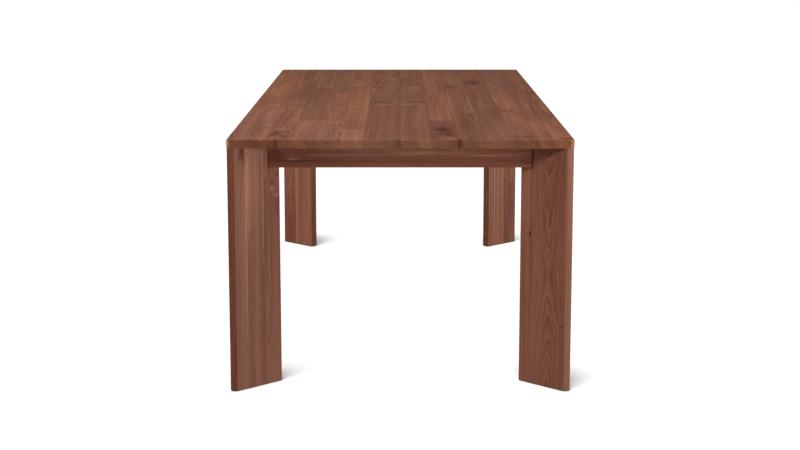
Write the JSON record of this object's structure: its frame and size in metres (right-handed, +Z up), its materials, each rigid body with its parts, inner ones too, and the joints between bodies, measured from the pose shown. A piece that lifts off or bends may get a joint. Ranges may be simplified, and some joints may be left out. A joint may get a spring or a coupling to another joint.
{
  "type": "dining table",
  "caption": "Solid wood dining table with a flush glued top, a rail frame set back under it and plank legs that stand diagonally in the corners.",
  "frame": {"origin": "on the floor under the middle of the top", "axes": "+X across the table to the right, +Y along the table away from its near end, +Z up"},
  "size_m": [1, 2.4, 0.745],
  "materials": {
    "walnut_top": "satin",
    "walnut_legs": "satin",
    "walnut_rails": "satin",
    "plate_steel": "zinc plated",
    "bolt_steel": "zinc plated",
    "screw_steel": "yellow zinc plated",
    "glide_nylon": "matte",
    "dowel_beech": "raw"
  },
  "bodies": {
    "root": {"top_board_01": "walnut_top", "top_board_02": "walnut_top", "top_board_03": "walnut_top", "top_board_04": "walnut_top", "top_board_05": "walnut_top", "top_board_06": "walnut_top", "top_board_07": "walnut_top", "top_board_08": "walnut_top", "top_board_09": "walnut_top", "top_board_10": "walnut_top", "top_board_11": "walnut_top", "top_board_12": "walnut_top", "leg_near_left": "walnut_legs", "leg_near_right": "walnut_legs", "leg_far_right": "walnut_legs", "leg_far_left": "walnut_legs", "end_rail_near": "walnut_rails", "side_rail_right": "walnut_rails", "end_rail_far": "walnut_rails", "side_rail_left": "walnut_rails", "cross_rail_near": "walnut_rails", "cross_rail_far": "walnut_rails", "corner_plate_near_left": "plate_steel", "corner_plate_near_right": "plate_steel", "corner_plate_far_right": "plate_steel", "corner_plate_far_left": "plate_steel", "hanger_bolts": "bolt_steel", "bolt_washers": "bolt_steel", "bolt_nuts": "bolt_steel", "plate_screws": "screw_steel", "clip_screws": "screw_steel", "top_clips": "plate_steel", "foot_glides": "glide_nylon", "cross_rail_dowels": "dowel_beech"}
  },
  "joints": []
}
